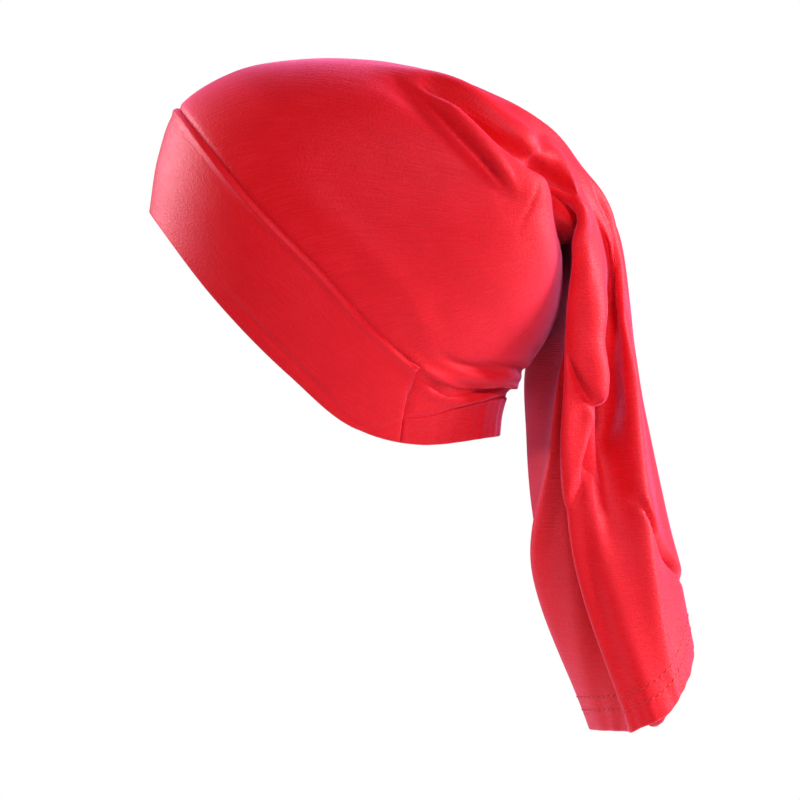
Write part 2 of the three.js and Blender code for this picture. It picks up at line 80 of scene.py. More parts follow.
# Pleat lines of the tail by angle: setback and side at each level and last at the hem, as shares
# of the tail's depth and half width, and where the line ends as a share of its length
TAIL_LEVELS = (0.088, 0.212, 0.322, 0.468, 0.687)
FIRST_LEVEL_SLANT = 0.055
TAIL_PLEATS = [
    # name, angle, setback at each level, side at each level, hem
    ("back ridge", 0, (0.3, 0.38, 0.45, 0.54, 0.71, 0.82), (0, 0, 0, 0, 0, 0.03), 0.848),
    ("back near", 25, (0.28, 0.37, 0.43, 0.5, 0.62, 0.79), (0.27, 0.27, 0.28, 0.3, 0.38, 0.37), 0.888),
    ("near back ridge", 45, (0.24, 0.33, 0.39, 0.43, 0.51, 0.71), (0.47, 0.47, 0.45, 0.5, 0.6, 0.6), 0.932),
    ("near valley", 60, (0.22, 0.26, 0.24, 0.2, 0.3, 0.64), (0.5, 0.37, 0.37, 0.43, 0.7, 0.7), 0.958),
    ("flap edge", 72, (0.18, 0.22, 0.22, 0.15, 0.2, 0.55), (0.62, 0.6, 0.6, 0.63, 0.73, 0.75), 0.973),
    ("near panel", 85, (0.11, 0.12, 0.1, 0.06, 0.11, 0.45), (0.75, 0.75, 0.73, 0.73, 0.68, 0.68), 0.985),
    ("near front edge", 100, (0.03, -0.02, -0.04, -0.05, 0.04, 0.38),
     (0.73, 0.73, 0.73, 0.72, 0.62, 0.57), 0.996),
    ("front valley", 120, (0.07, 0.03, 0.01, -0.01, 0.09, 0.28),
     (0.53, 0.53, 0.53, 0.53, 0.37, 0.3), 0.996),
    ("front ridge", 140, (0.05, 0.02, -0.03, -0.1, -0.22, 0.15),
     (0.33, 0.4, 0.43, 0.4, 0.07, -0.07), 0.998),
    ("front middle", 170, (0.06, 0.03, -0.05, -0.15, -0.18, 0.18),
     (0, 0, -0.07, -0.03, -0.23, -0.33), 0.998),
    ("far front ridge", 210, (0.01, -0.04, -0.26, -0.27, -0.17, 0.22),
     (-0.47, -0.6, -0.7, -0.57, -0.6, -0.63), 0.998),
    ("far corner", 245, (0.02, -0.08, -0.19, -0.18, -0.06, 0.35),
     (-0.77, -0.9, -0.92, -0.87, -0.93, -0.92), 0.998),
    ("far side", 280, (0.16, 0.2, 0.17, 0.14, 0.27, 0.52), (-0.77, -0.83, -0.9, -0.95, -1.0, -0.87), 0.996),
    ("far back", 320, (0.26, 0.35, 0.4, 0.45, 0.57, 0.65),
     (-0.43, -0.47, -0.53, -0.6, -0.63, -0.47), 0.984),
]

# Folds along the cloth have a path of (station, angle) and a spread in degrees, and folds across
# it a path of (angle, station) and a spread in stations. Height is a share of the fold depth.
FOLDS = [
    # name, runs, path, height, spread, mirror
    ("top roll", "along", ((5.2, 24), (7.0, 37), (8.3, 28), (9.2, 22)), 0.67, 9, 0.8),
    ("under the roll", "along", ((5.9, 38), (6.45, 53), (7.2, 69), (8.3, 75), (9.4, 68)), -1, 7.5, 0.8),
    ("crown back swell", "along", ((6.3, 80), (7.3, 94), (8.3, 100)), 0.33, 12, 0.8),
    ("behind the crown", "along", ((8.5, 84), (9.2, 95), (9.9, 110), (10.6, 122)), -1.1, 12, 0.6),
    ("tail front ridge", "along",
     ((8.5, 50), (9.45, 62), (9.9, 80), (10.5, 90), (11.2, 100)),
     0.8, 11, 0.3),
    ("second tail ridge", "along", ((9.5, 26), (10.3, 24), (11.2, 38), (12.2, 42)), 0.5, 9, 0.4),
    ("between the ridges", "along", ((9.6, 44), (10.2, 50), (10.8, 55), (11.3, 58)), -0.45, 9, 0.4),
    ("near valley", "along",
     ((11.7, 60), (12.1, 62), (12.75, 68), (13.3, 60), (13.8, 60), (14.3, 72)),
     -0.8, 7.5, 0),
    ("near valley lip", "along", ((11.6, 76), (12.75, 84), (13.5, 76), (14.2, 84)), 0.45, 8, 0),
    ("near back ridge", "along", ((12.6, 42), (13.6, 45), (14.6, 43), (15.7, 50)), 0.55, 8, 0),
    ("far valley", "along", ((12.2, 300), (13.8, 296), (15.6, 300)), -0.9, 10, 0),
    ("far ridge", "along", ((11.8, 276), (13.4, 278), (15.8, 274)), 0.45, 10, 0),
    ("back valley", "along", ((12.6, 14), (14.0, 10), (15.2, 20)), -0.45, 9, 0),
    ("soft crown valley", "across", ((36, 5.15), (55, 5.55), (70, 5.82), (95, 6.27)), -0.58, 0.25, 0.6),
    ("soft crown ridge", "across", ((40, 6.0), (64, 6.3), (83, 6.42), (96, 6.33)), 0.5, 0.25, 0.6),
    ("ridge over the ear", "across",
     ((60, 2.6), (78, 2.7), (100, 2.95), (114, 2.9), (128, 2.5)),
     0.31, 0.35, 1),
    ("nape ridge", "across", ((130, 2.0), (150, 2.3), (180, 2.5)), 0.35, 0.22, 1),
    ("nape valley", "across", ((131, 1.7), (148, 1.95), (163, 2.2), (180, 2.15)), -0.4, 0.22, 1),
    ("upper nape valley", "across", ((138, 2.5), (150, 2.9), (162, 3.3), (180, 3.4)), -0.4, 0.25, 1),
]


def smooth(start, end, value):
    """Zero before start, one after end, and a cubic ease between them."""
    share = np.clip((value - start) / (end - start), 0, 1)
    return share * share * (3 - 2 * share)


def cubic(share, first, last, leave, reach):
    """Cubic from first to last whose slopes at its ends are leave and reach."""
    return (
        (2 * share**3 - 3 * share**2 + 1) * first
        + (share**3 - 2 * share**2 + share) * leave
        + (3 * share**2 - 2 * share**3) * last
        + (share**3 - share**2) * reach
    )


def spline(knots, values, place):
    """Curve through (knot, value) points: a cubic between neighbours, whose slope at each point is
    the mean of the slopes on its two sides, each weighted by the length of the other side."""
    knots = np.asarray(knots, float)
    values = np.asarray(values, float)
    knots = np.concatenate([[2 * knots[0] - knots[1]], knots, [2 * knots[-1] - knots[-2]]])
    values = np.concatenate([[2 * values[0] - values[1]], values, [2 * values[-1] - values[-2]]])
    place = np.clip(place, knots[1], knots[-2])
    i = np.clip(np.searchsorted(knots, place, side="right") - 1, 1, len(knots) - 3)
    before, here, there = (knots[i + k + 1] - knots[i + k] for k in (-1, 0, 1))
    slope_before, slope_here, slope_there = (
        (values[i + k + 1] - values[i + k]) / (knots[i + k + 1] - knots[i + k]) for k in (-1, 0, 1)
    )
    leave = (slope_before * here + slope_here * before) / (before + here) * here
    reach = (slope_here * there + slope_there * here) / (here + there) * here
    return cubic((place - knots[i]) / here, values[i], values[i + 1], leave, reach)


def crown_loop(outer, inner, width, sag, square, angle):
    """Loop in the plane of its outer and inner point: the place along the chord is the half
    versine of the angle, the sag is a spline across the chord, and the side is the sine of the
    angle raised to the squareness."""
    outer = np.array(outer) * (CROWN_LENGTH, -CROWN_HEIGHT)
    chord = np.array(inner) * (CROWN_LENGTH, -CROWN_HEIGHT) - outer
    down = np.array([chord[1], -chord[0]]) / np.hypot(*chord)
    along = (1 - np.cos(np.radians(angle))) / 2
    bow = spline((0, *SAG_PLACES, 1), (0, *sag, 0), along) * CROWN_HEIGHT
    side = np.sin(np.radians(angle))
    x = CROWN_HALF_WIDTH * width * np.sign(side) * np.abs(side) ** square
    y = outer[0] + chord[0] * along + down[0] * bow - SEAT_SETBACK * CROWN_LENGTH
    z = outer[1] + chord[1] * along + down[1] * bow
    return np.stack([x, y, z], -1)


def tail_loop(level, angle):
    """Loop of the tail: setback, side and drop are splines round the pleat lines."""
    at = np.array([pleat[1] for pleat in TAIL_PLEATS], float)
    setback = np.array([pleat[2][level] for pleat in TAIL_PLEATS])
    side = np.array([pleat[3][level] for pleat in TAIL_PLEATS])
    if level < len(TAIL_LEVELS):
        slant = FIRST_LEVEL_SLANT * (1 - np.cos(np.radians(at))) / 2 * (level == 0)
        drop = TAIL_LEVELS[level] + slant
    else:
        drop = np.array([pleat[4] for pleat in TAIL_PLEATS])
    around = np.concatenate([at[-2:] - 360, at, at[:3] + 360])
    x, y, z = (
        spline(around, np.concatenate([line[-2:], line, line[:3]]), angle) for line in (side, setback, drop)
    )
    front = (TAIL_SETBACK - SEAT_SETBACK) * CROWN_LENGTH
    return np.stack(
        [x * TAIL_HALF_WIDTH, front + y * TAIL_DEPTH, -TAIL_TURN * CROWN_HEIGHT - z * TAIL_LENGTH], -1
    )


def plain_form(angle, station):
    """Points of the cloth without folds, in millimetres, for columns of equal angle: down each
    column a cubic curve runs through the loops, paced by the square root of their distances."""
    turned = np.mod(angle, 360)
    loops = [crown_loop(*loop[1:], turned) for loop in CROWN_LOOPS]
    loops += [tail_loop(level, turned) for level in range(len(TAIL_LEVELS) + 1)]
    loops = np.stack([2 * loops[0] - loops[1], *loops, 2 * loops[-1] - loops[-2]])
    i = np.clip(np.floor(station).astype(int), 0, len(loops) - 4)
    column = np.arange(len(angle))
    p0, p1, p2, p3 = (loops[i + k, column] for k in range(4))
    t1, t2, t3 = (
        np.sqrt(np.linalg.norm(there - here, axis=-1, keepdims=True)) + 1e-6
        for here, there in ((p0, p1), (p1, p2), (p2, p3))
    )
    leave = ((p1 - p0) / t1 - (p2 - p0) / (t1 + t2) + (p2 - p1) / t2) * t2
    reach = ((p2 - p1) / t2 - (p3 - p1) / (t2 + t3) + (p3 - p2) / t3) * t2
    return cubic((station - i)[..., None], p1, p2, leave, reach)


def fold_share(folds, angle, station):
    """Sum of the folds: each is a bell curve of the distance from its path, narrower on one side
    where it is steep, eased at the path's ends, and repeated on the far side at its mirror height."""
    total = np.zeros(station.shape)
    for _, runs, path, height, spread, mirror, *steep in folds:
        knots, values = np.array(path, float).T
        length = knots[-1] - knots[0]
        for side, share in ((np.mod(angle, 360), 1.0), (np.mod(-angle, 360), mirror)):
            if share == 0:
                continue
            if runs == "along":
                ease = min(0.8, length / 3)
                place = station
                away = np.mod(side - spline(knots, values, place) + 180, 360) - 180
            else:
                ease = length / 4
                place = side
                away = station - spline(knots, values, place)
            fade = smooth(knots[0] - ease / 2, knots[0] + ease, place)
            if runs == "across" and knots[0] < 0:
                place = np.mod(side + 180, 360) - 180
                fade = smooth(knots[0] - ease / 2, knots[0] + ease, place)
                away = station - spline(knots, values, place)
            if runs == "across" and knots[-1] >= 180:
                fade = fade * (place <= 180)
            else:
                fade = fade * (1 - smooth(knots[-1] - ease, knots[-1] + ease / 2, place))
            far = away / spread
            if steep:
                far = np.where(far * steep[0] < 0, far * abs(steep[0]), far)
            total += share * height * np.exp(-(far**2)) * fade
    return total


def outward(form, angle, station):
    """Normal of a form: the cross product of its small steps round and along the cloth."""
    low, high = np.maximum(station - 0.01, 0), np.minimum(station + 0.01, HEM_STATION)
    around = form(angle + 0.5, station) - form(angle - 0.5, station)
    along = form(angle, high) - form(angle, low)
    normal = np.cross(around, along)
    return normal / np.linalg.norm(normal, axis=-1, keepdims=True)


def folded_form(angle, station):
    """Plain form moved along its normal by the main folds."""
    height = fold_share(FOLDS, angle, station) * FOLD_DEPTH
    return plain_form(angle, station) + outward(plain_form, angle, station) * height[..., None]


# Small folds that only show: creases of the band, gathers at the nape, tucks of the tail. A last
# number makes a fold that many times steeper on one side, so that it lies over its neighbour.
SMALL_FOLDS = [
    # name, runs, path, height, spread, mirror, steep
    ("band crease", "across", ((66, 0.33), (87, 0.3), (103, 0.24), (117, 0.14)), -0.12, 0.06, 1),
    ("band crease lip", "across", ((66, 0.45), (87, 0.42), (103, 0.37), (117, 0.28)), 0.08, 0.08, 1),
    ("casing line on the band", "across",
     ((112, -0.1), (117, 0.06), (122, 0.27), (129, 0.56)),
     -0.14, 0.07, 1),
    ("ridge from the seam", "across",
     ((122, 2.08), (128, 1.98), (135, 2.0), (144, 1.88), (152, 2.05), (162, 2.4)),
     0.42, 0.13, 1, 2),
    ("slit at the nape", "across",
     ((133, 1.74), (142, 1.66), (148, 1.83), (153, 1.92), (158, 2.02), (164, 2.2)),
     -0.55, 0.12, 1),
    ("ridge over the casing", "across",
     ((127, 1.7), (137, 1.45), (145, 1.32), (154, 1.5), (162, 1.75)),
     0.35, 0.15, 1),
    ("upper nape line", "across", ((131, 2.5), (140, 2.57), (147, 2.66), (158, 2.85)), -0.28, 0.1, 1),
    ("upper nape ridge", "across", ((134, 2.36), (147, 2.42), (155, 2.52), (166, 2.9)), 0.2, 0.12, 1),
    ("far corner swell", "along", ((9.3, 242), (10.4, 238), (11.4, 236), (12.4, 238)), 1.4, 24, 0),
    ("roll dark line", "across",
     ((37, 5.78), (46, 6.08), (52, 6.34), (59, 6.62), (69, 7.0), (77, 7.4)),
     -1.3, 0.15, 0.4, 1.4),
    ("roll dark line end", "along", ((6.8, 62), (7.4, 70), (8.2, 73), (9.0, 74), (9.9, 76)), -1.1, 7, 0.4),
    ("roll crest", "along", ((5.9, 25), (6.5, 38), (6.9, 45), (7.6, 53), (8.2, 55)), 0.6, 8, 0.5),
    ("above the roll", "along",
     ((5.6, -2), (6.4, 12), (7.2, 24), (8.3, 21), (9.2, 12)),
     -1.0, 8, 0.5, -1.5),
    ("second valley line", "across",
     ((34, 5.3), (50, 5.66), (64, 5.84), (80, 6.1), (93, 6.3)),
     -0.4, 0.12, 0.6, -1.5),
    ("thin ridge", "across", ((42, 5.85), (50, 5.97), (65, 6.14), (78, 6.36), (92, 6.6)), 0.25, 0.15, 0.6),
    ("short crease", "across", ((91, 7.5), (98, 7.1), (103, 6.78), (111, 6.0)), -0.2, 0.07, 0.6),
    ("roll bend", "across", ((40, 8.4), (50, 8.3), (62, 8.25), (72, 8.3)), -0.35, 0.2, 0.5),
    ("second ridge crease", "along",
     ((9.8, 27), (10.3, 32), (10.9, 37), (11.5, 47), (12.0, 55)),
     -0.35, 3, 0.5),
    ("second ridge lip", "along", ((9.8, 19), (10.3, 24), (10.9, 29), (11.5, 38), (12.0, 46)), 0.3, 4, 0.5),
    ("flap foot", "across", ((66, 13.62), (78, 13.45), (85, 13.29), (97, 12.88)), 0.5, 0.6, 0, -12),
    ("under the flap foot", "across", ((64, 13.72), (78, 13.54), (86, 13.37), (98, 12.97)), -0.7, 0.08, 0),
    ("flap shade", "along",
     ((12.2, 61), (13.0, 66), (13.6, 63), (14.0, 68), (14.3, 80), (14.6, 97)),
     -1.3, 9, 0, -1.5),
    ("flap flat", "along", ((11.8, 84), (12.75, 87), (13.5, 85), (14.3, 88)), -0.45, 9, 0),
    ("flap edge", "along", ((11.9, 70), (12.75, 75), (13.3, 71), (13.7, 70)), 0.45, 8, 0, 2.5),
    ("back ridge line", "along",
     ((11.8, 50), (12.8, 46), (14.3, 45), (15.2, 46), (15.8, 47)),
     0.4, 6, 0, 2.5),
    ("back ridge shade", "along", ((12.2, 40), (12.9, 36), (13.8, 38), (14.5, 38)), -0.35, 4, 0),
    ("slit lip", "across",
     ((-8, 15.18), (7, 15.06), (14, 14.96), (30, 14.8), (38, 14.71), (48, 14.42)),
     0.3, 0.3, 0, -3),
    ("slit", "across",
     ((-6, 15.26), (7, 15.14), (14, 15.04), (30, 14.88), (38, 14.79), (47, 14.52)),
     -1.8, 0.045, 0),
    ("panel edge", "along", ((13.5, 98), (14.3, 99), (15.0, 97), (15.95, 96)), 0.6, 9, 0, -3),
    ("panel shade", "along",
     ((12.9, 116), (14.0, 117), (14.8, 113), (15.3, 109), (15.95, 108)),
     -2.4, 9, 0, 2),
    ("front ridge line", "along", ((12.6, 140), (13.8, 138), (14.5, 137), (15.1, 141)), 0.6, 6, 0, 1.8),
    ("inner panel ridge", "along", ((14.2, 126), (15.06, 125), (15.45, 127), (15.9, 132)), 0.5, 6, 0),
    ("front crease", "along", ((12.6, 150), (13.8, 152), (15.0, 150)), -0.35, 5, 0),
    ("back crease", "along", ((11.0, 350), (12.4, 346), (13.6, 352)), -0.35, 5, 0),
    ("far crease", "along", ((10.6, 318), (12.0, 322), (13.4, 326), (14.8, 320)), -0.4, 5, 0),
    ("far front crease", "along", ((12.0, 232), (13.4, 228), (15.2, 226)), -0.4, 6, 0),
    ("back soft ridge", "along", ((9.6, 4), (11.0, 8), (12.4, 2)), 0.35, 6, 0),
]


# Height shares of the loose cloth's waves, and the pucker that the stitches draw into the hem
WAVE_HEIGHT = 0.3
PUCKER_HEIGHT = 0.2
PUCKER_START = 15.7
PUCKER_FULL = 15.95
PUCKERS_ROUND = 31
PUCKER_DRIFTS = 9


def worn_form(angle, station):
    """Folded form with the small folds, the slow crossing waves of loose cloth, and a sine wave of
    uneven pitch that puckers the hem."""
    height = fold_share(SMALL_FOLDS, angle, station) * FOLD_DEPTH
    loose = smooth(4.5, 9.0, station)
    swing = np.radians(angle)
    ripple = np.sin(3 * swing + 1.9 * station) * np.sin(2.3 * station + 0.7)
    ripple = ripple + 0.6 * np.sin(7 * swing - 2.1 * station)
    height = height + loose * WAVE_HEIGHT * ripple
    drift = np.sin(PUCKER_DRIFTS * swing)
    pucker = smooth(PUCKER_START, PUCKER_FULL, station) * np.sin(PUCKERS_ROUND * swing + drift)
    height = height + PUCKER_HEIGHT * pucker
    return folded_form(angle, station) + outward(folded_form, angle, station) * height[..., None]


def rate_at(angle, station):
    """Millimetres of cloth that one station spans at a place."""
    station = np.broadcast_to(np.atleast_2d(station), (1, len(angle)))
    step = plain_form(angle, station + 0.01) - plain_form(angle, station)
    return np.linalg.norm(step, axis=-1)[0] / 0.01


def cloth_length(station):
    """Length of cloth from the face edge down the side, in metres."""
    steps = np.linspace(0, HEM_STATION, 161)[:, None]
    line = plain_form(np.array([90.0]), steps)[:, 0]
    run = np.concatenate([[0], np.cumsum(np.linalg.norm(np.diff(line, axis=0), axis=1))])
    return np.interp(station, steps[:, 0], run) * MILLIMETRE


# Metres of knit that the UV maps give to a full round and to each station of the courses' slant
ROUND_LENGTH = 0.46
COURSE_SLANT = 0.011


def wall(name, angle, station, height, looped):
    """Closed cloth wall. Rows go round the section of the wall, from its outer face over the rolled
    edge to its inner face and back, and columns go round the cap. Each point lies off the worn
    form by its height along the normal. An open strip closes where its end sections meet. Two UV
    maps in metres follow the knit: round the tube, and back over the crown at a slant."""
    rows, columns = station.shape
    place = worn_form(angle, station) + outward(folded_form, angle, station) * height[..., None]
    last = columns if looped else columns - 1
    row, column = np.meshgrid(np.arange(rows), np.arange(last), indexing="ij")
    down, right = (row + 1) % rows, (column + 1) % columns
    upper, lower = row * columns, down * columns
    corners = np.stack([upper + column, upper + right, lower + right, lower + column], -1).reshape(-1, 4)
    mesh = bpy.data.meshes.new(name)
    mesh.from_pydata((place * MILLIMETRE).reshape(-1, 3).tolist(), [], corners.tolist())
    turned = np.mod(angle, 360)
    from_top = np.broadcast_to((180 - np.abs(180 - turned)) / 360 * ROUND_LENGTH, station.shape)
    length = cloth_length(station)
    slant = COURSE_SLANT * np.minimum(station, 9) * np.abs(np.sin(np.radians(angle)))
    maps = {"round": (from_top, length), "over": (length, from_top - slant)}
    for key, (u, v) in maps.items():
        layer = mesh.uv_layers.new(name=key)
        both = np.stack([u.reshape(-1), v.reshape(-1)], -1)
        layer.data.foreach_set("uv", both[corners.reshape(-1)].reshape(-1))
    hanging = mesh.attributes.new("hanging", "FLOAT", "POINT")
    hanging.data.foreach_set("value", smooth(8.4, 10.2, station).reshape(-1))
    mesh.polygons.foreach_set("use_smooth", np.ones(len(corners), bool))
    mesh.update()
    piece = bpy.data.objects.new(name, mesh)
    bpy.context.scene.collection.objects.link(piece)
    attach(piece, "root")
    return piece


def linear(hex_colour):
    """sRGB hex to linear RGBA."""
    value = np.array([int(hex_colour[i : i + 2], 16) for i in (1, 3, 5)]) / 255
    value = np.where(value <= 0.04045, value / 12.92, ((value + 0.055) / 1.055) ** 2.4)
    return (*value.tolist(), 1.0)


def add(tree, kind, settings=None, sockets=None, links=None):
    """Adds a node, sets its properties and its sockets, and links outputs into it."""
    node = tree.nodes.new(kind)
    for key, value in (settings or {}).items():
        setattr(node, key, value)
    for key, value in (sockets or {}).items():
        node.inputs[key].default_value = value
    for key, output in (links or {}).items():
        tree.links.new(output, node.inputs[key])
    return node


def viscose_jersey(name, base, shade, slub, hanging=False):
    """Viscose jersey: uneven yarn that gives soft streaks along the courses, a little lighter than
    the ground, a fine knit, soft mottling, and a pink sheen where the cloth turns away. On the
    tube the courses run back over the crown and round the tail."""
    material = bpy.data.materials.new(name)
    material.use_nodes = True
    tree = material.node_tree
    tree.nodes.clear()
    # streaks about 17 mm long and 0.7 mm high: the yarn is finer than that, but would not show
    streaks = []
    knits = []
    for key in ("over", "round") if hanging else ("round",):
        place = add(tree, "ShaderNodeUVMap", {"uv_map": key})
        drawn = add(
            tree,
            "ShaderNodeMapping",
            sockets={"Scale": (60, 1500, 1)},
            links={"Vector": place.outputs[0]},
        )
        streaks.append(
            add(
                tree,
                "ShaderNodeTexNoise",
                sockets={"Scale": 1.0, "Detail": 4.0, "Roughness": 0.65},
                links={"Vector": drawn.outputs[0]},
            ).outputs["Fac"]
        )
    streak = streaks[0]
    if hanging:
        share = add(tree, "ShaderNodeAttribute", {"attribute_name": "hanging"})
        streak = add(
            tree,
            "ShaderNodeMix",
            {"data_type": "FLOAT"},
            links={0: share.outputs["Fac"], 2: streaks[0], 3: streaks[1]},
        ).outputs[0]
    where = add(tree, "ShaderNodeTexCoord")
    # mottling 14 mm across and loose fibres 1 mm across
    mottle = add(
        tree,
        "ShaderNodeTexNoise",
        sockets={"Scale": 70.0, "Detail": 3.0},
        links={"Vector": where.outputs["Object"]},
    )
    fibre = add(
        tree,
        "ShaderNodeTexNoise",
        sockets={"Scale": 900.0, "Detail": 2.0},
        links={"Vector": where.outputs["Object"]},
    )
    tone = add(
        tree,
        "ShaderNodeMix",
        {"data_type": "FLOAT"},
        {0: 0.35},
        {2: streak, 3: mottle.outputs["Fac"]},
    )
    colour = add(tree, "ShaderNodeValToRGB", links={"Fac": tone.outputs[0]})
    stops = colour.color_ramp.elements
    stops[0].position = 0.3
    stops[0].color = linear(shade)
    stops[1].position = 0.75
    stops[1].color = linear(slub)
    middle = stops.new(0.5)
    middle.color = linear(base)
    relief = add(
        tree,
        "ShaderNodeMix",
        {"data_type": "FLOAT"},
        {0: 0.4},
        {2: streak, 3: fibre.outputs["Fac"]},
    )
    bump = add(
        tree,
        "ShaderNodeBump",
        sockets={"Strength": 1.0, "Distance": 0.0005},
        links={"Height": relief.outputs[0]},
    )
    shader = add(
        tree,
        "ShaderNodeBsdfPrincipled",
        sockets={
            "Roughness": 0.52,
            "IOR": 1.46,
            "Specular IOR Level": 0.4,
            "Specular Tint": linear("#ffb4e0"),
            "Sheen Weight": 0.55,
            "Sheen Roughness": 0.4,
            "Sheen Tint": linear("#ff88c8"),
        },
        links={"Base Color": colour.outputs["Color"], "Normal": bump.outputs[0]},
    )
    add(tree, "ShaderNodeOutputMaterial", links={"Surface": shader.outputs[0]})
    return material


# Heights of the band's outer and inner face over the form, and the ridge over its seam allowances
BAND_OUT = 0.3
BAND_IN = -1.9
SEAM_GAP = 0.3
RIDGE_HEIGHT = 0.9
RIDGE_WIDTH = 1.5
RIDGE_SETBACK = 2.4
END_ROUNDING = 1.1
BAND_COLUMNS = 190
MM_PER_DEGREE = 1.3
ROLL = np.radians(np.linspace(-90, 90, 7))[:, None]


def strip_section(bottom, top, bottom_rate, top_rate, outer, inner, outer_share, inner_share):
    """Section of a folded strip as rows of station and height: a half circle round its bottom edge,
    up the outer face, a half circle round its top edge, and down the inner face."""
    half = (outer - inner) / 2
    away = half * (1 - np.cos(ROLL))
    turn = (outer + inner) / 2 + half * np.sin(ROLL)
    first, last = bottom + half / bottom_rate, top - half / top_rate
    station = np.concatenate(
        [
            first - (half - away) / bottom_rate,
            first + (last - first) * outer_share[:, None],
            (last + (half - away) / top_rate)[::-1],
            first + (last - first) * inner_share[:, None],
        ]
    )
    level = np.concatenate(
        [turn, np.full((len(outer_share), 1), outer), turn[::-1], np.full((len(inner_share), 1), inner)]
    )
    return station, np.repeat(level, station.shape[1], 1)


def closed_ends(angle, height, middle, first, last, pitch):
    """Draws the section together over the end rounding at both ends, as a quarter circle."""
    from_end = np.minimum(angle - first, last - angle) * pitch
    close = np.sqrt(np.clip(1 - (1 - np.clip(from_end / END_ROUNDING, 0, 1)) ** 2, 0, 1))
    return middle + (height - middle) * close


def band_grid():
    """The outer face rises to a ridge beside the seam, over the seam allowances."""
    inside = np.linspace(-BAND_END + 0.8, BAND_END - 0.8, BAND_COLUMNS)
    angle = np.concatenate([[-BAND_END, -BAND_END + 0.3], inside, [BAND_END - 0.3, BAND_END]])
    seam_rate = rate_at(angle, SEAM_STATION - 0.02)
    top = SEAM_STATION - SEAM_GAP / 2 / seam_rate
    station, height = strip_section(
        0 * angle,
        top,
        rate_at(angle, 0),
        seam_rate,
        BAND_OUT,
        BAND_IN,
        1 - np.linspace(1, 0, 60)[1:-1] ** 1.5,
        np.linspace(1, 0, 20)[1:-1],
    )
    from_seam = (top - station) * seam_rate
    outer_face = smooth((BAND_OUT + BAND_IN) / 2, BAND_OUT, height)
    height = height + RIDGE_HEIGHT * outer_face * np.exp(-(((from_seam - RIDGE_SETBACK) / RIDGE_WIDTH) ** 2))
    height = closed_ends(angle, height, (BAND_OUT + BAND_IN) / 2, -BAND_END, BAND_END, MM_PER_DEGREE)
    return angle, station, height


band = wall("front_band_cloth", *band_grid(), looped=False)
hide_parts("front_band")
band.data.materials.append(viscose_jersey("double viscose jersey", "#ce0608", "#c80406", "#d61219"))

# Nape casing
# The jersey turned over flat elastic and stitched down, between the two ends of the front band. The
# elastic draws the cloth into small upright gathers.
CASING_TOP = ((BAND_END, 0.56), (138, 0.84), (152, 1.36), (172, 1.8), (180, 1.85))
CASING_THICKNESS = 1.9
GATHER_HEIGHT = 0.22
GATHERS_ROUND = (46, 71)
CASING_COLUMNS = 150
CASING_MM_PER_DEGREE = 1.1


def casing_top(angle):
    """Station of the casing's upper edge, the same on both sides."""
    knots, values = np.array(CASING_TOP).T
    return spline(knots, values, np.where(angle <= 180, angle, 360 - angle))


def casing_grid():
    """The outer face carries the gathers as two sine waves of unlike pitch."""
    inside = np.linspace(BAND_END + 0.8, 359.2 - BAND_END, CASING_COLUMNS)
    angle = np.concatenate([[BAND_END, BAND_END + 0.3], inside, [359.7 - BAND_END, 360 - BAND_END]])
    top_rate = rate_at(angle, casing_top(angle))
    station, height = strip_section(
        0 * angle,
        casing_top(angle) - SEAM_GAP / 2 / top_rate,
        rate_at(angle, 0),
        top_rate,
        0,
        -CASING_THICKNESS,
        np.linspace(0, 1, 22)[1:-1],
        np.linspace(1, 0, 12)[1:-1],
    )
    swing = np.radians(angle)
    wide, narrow = GATHERS_ROUND
    gathers = np.sin(wide * swing) * 0.6 + np.sin(narrow * swing + 1.3) * 0.4
    height = height + GATHER_HEIGHT * gathers * smooth(-1.0, 0.0, height)
    height = closed_ends(angle, height, -CASING_THICKNESS / 2, BAND_END, 360 - BAND_END, CASING_MM_PER_DEGREE)
    return angle, station, height


casing = wall("nape_band_cloth", *casing_grid(), looped=False)
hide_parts("nape_band")
# The casing's three tones are a little darker than the band's same jersey: painted shade for the nape, which
# lies low and turns down.
casing.data.materials.append(viscose_jersey("gathered viscose jersey with painted shade", "#ca0507", "#c40406", "#d01016"))

# Crown and tail
# One tube of single jersey from the band's seam and the casing to the hem. It forms the crown,
# turns down behind it in pleats, hangs as an open tail, and ends in a turned hem.
JERSEY = 1.2
HEM_THICKNESS = 1.9
HEM_DEPTH = 17.0
GROOVE = 0.75
TUCK_DEPTH = 0.4
TUCK_LENGTH = 1.0
GROOVE_WIDTH = 1.2
# Columns from the forehead to the band's end on each side and between the ends, and rows down the
# outer face and up the inner one, which is nearly as fine so that it can't come through a fold
NEAR_COLUMNS = 96
NAPE_COLUMNS = 44
FAR_COLUMNS = 59
OUTER_ROWS = 280
INNER_ROWS = 160
NEAR_EDGE = (0, 0.4, 0.9, 1.6, 2.6, 4.0)
UNDER_SEAM_ROWS = [-1, 9, 6, 2, 0]


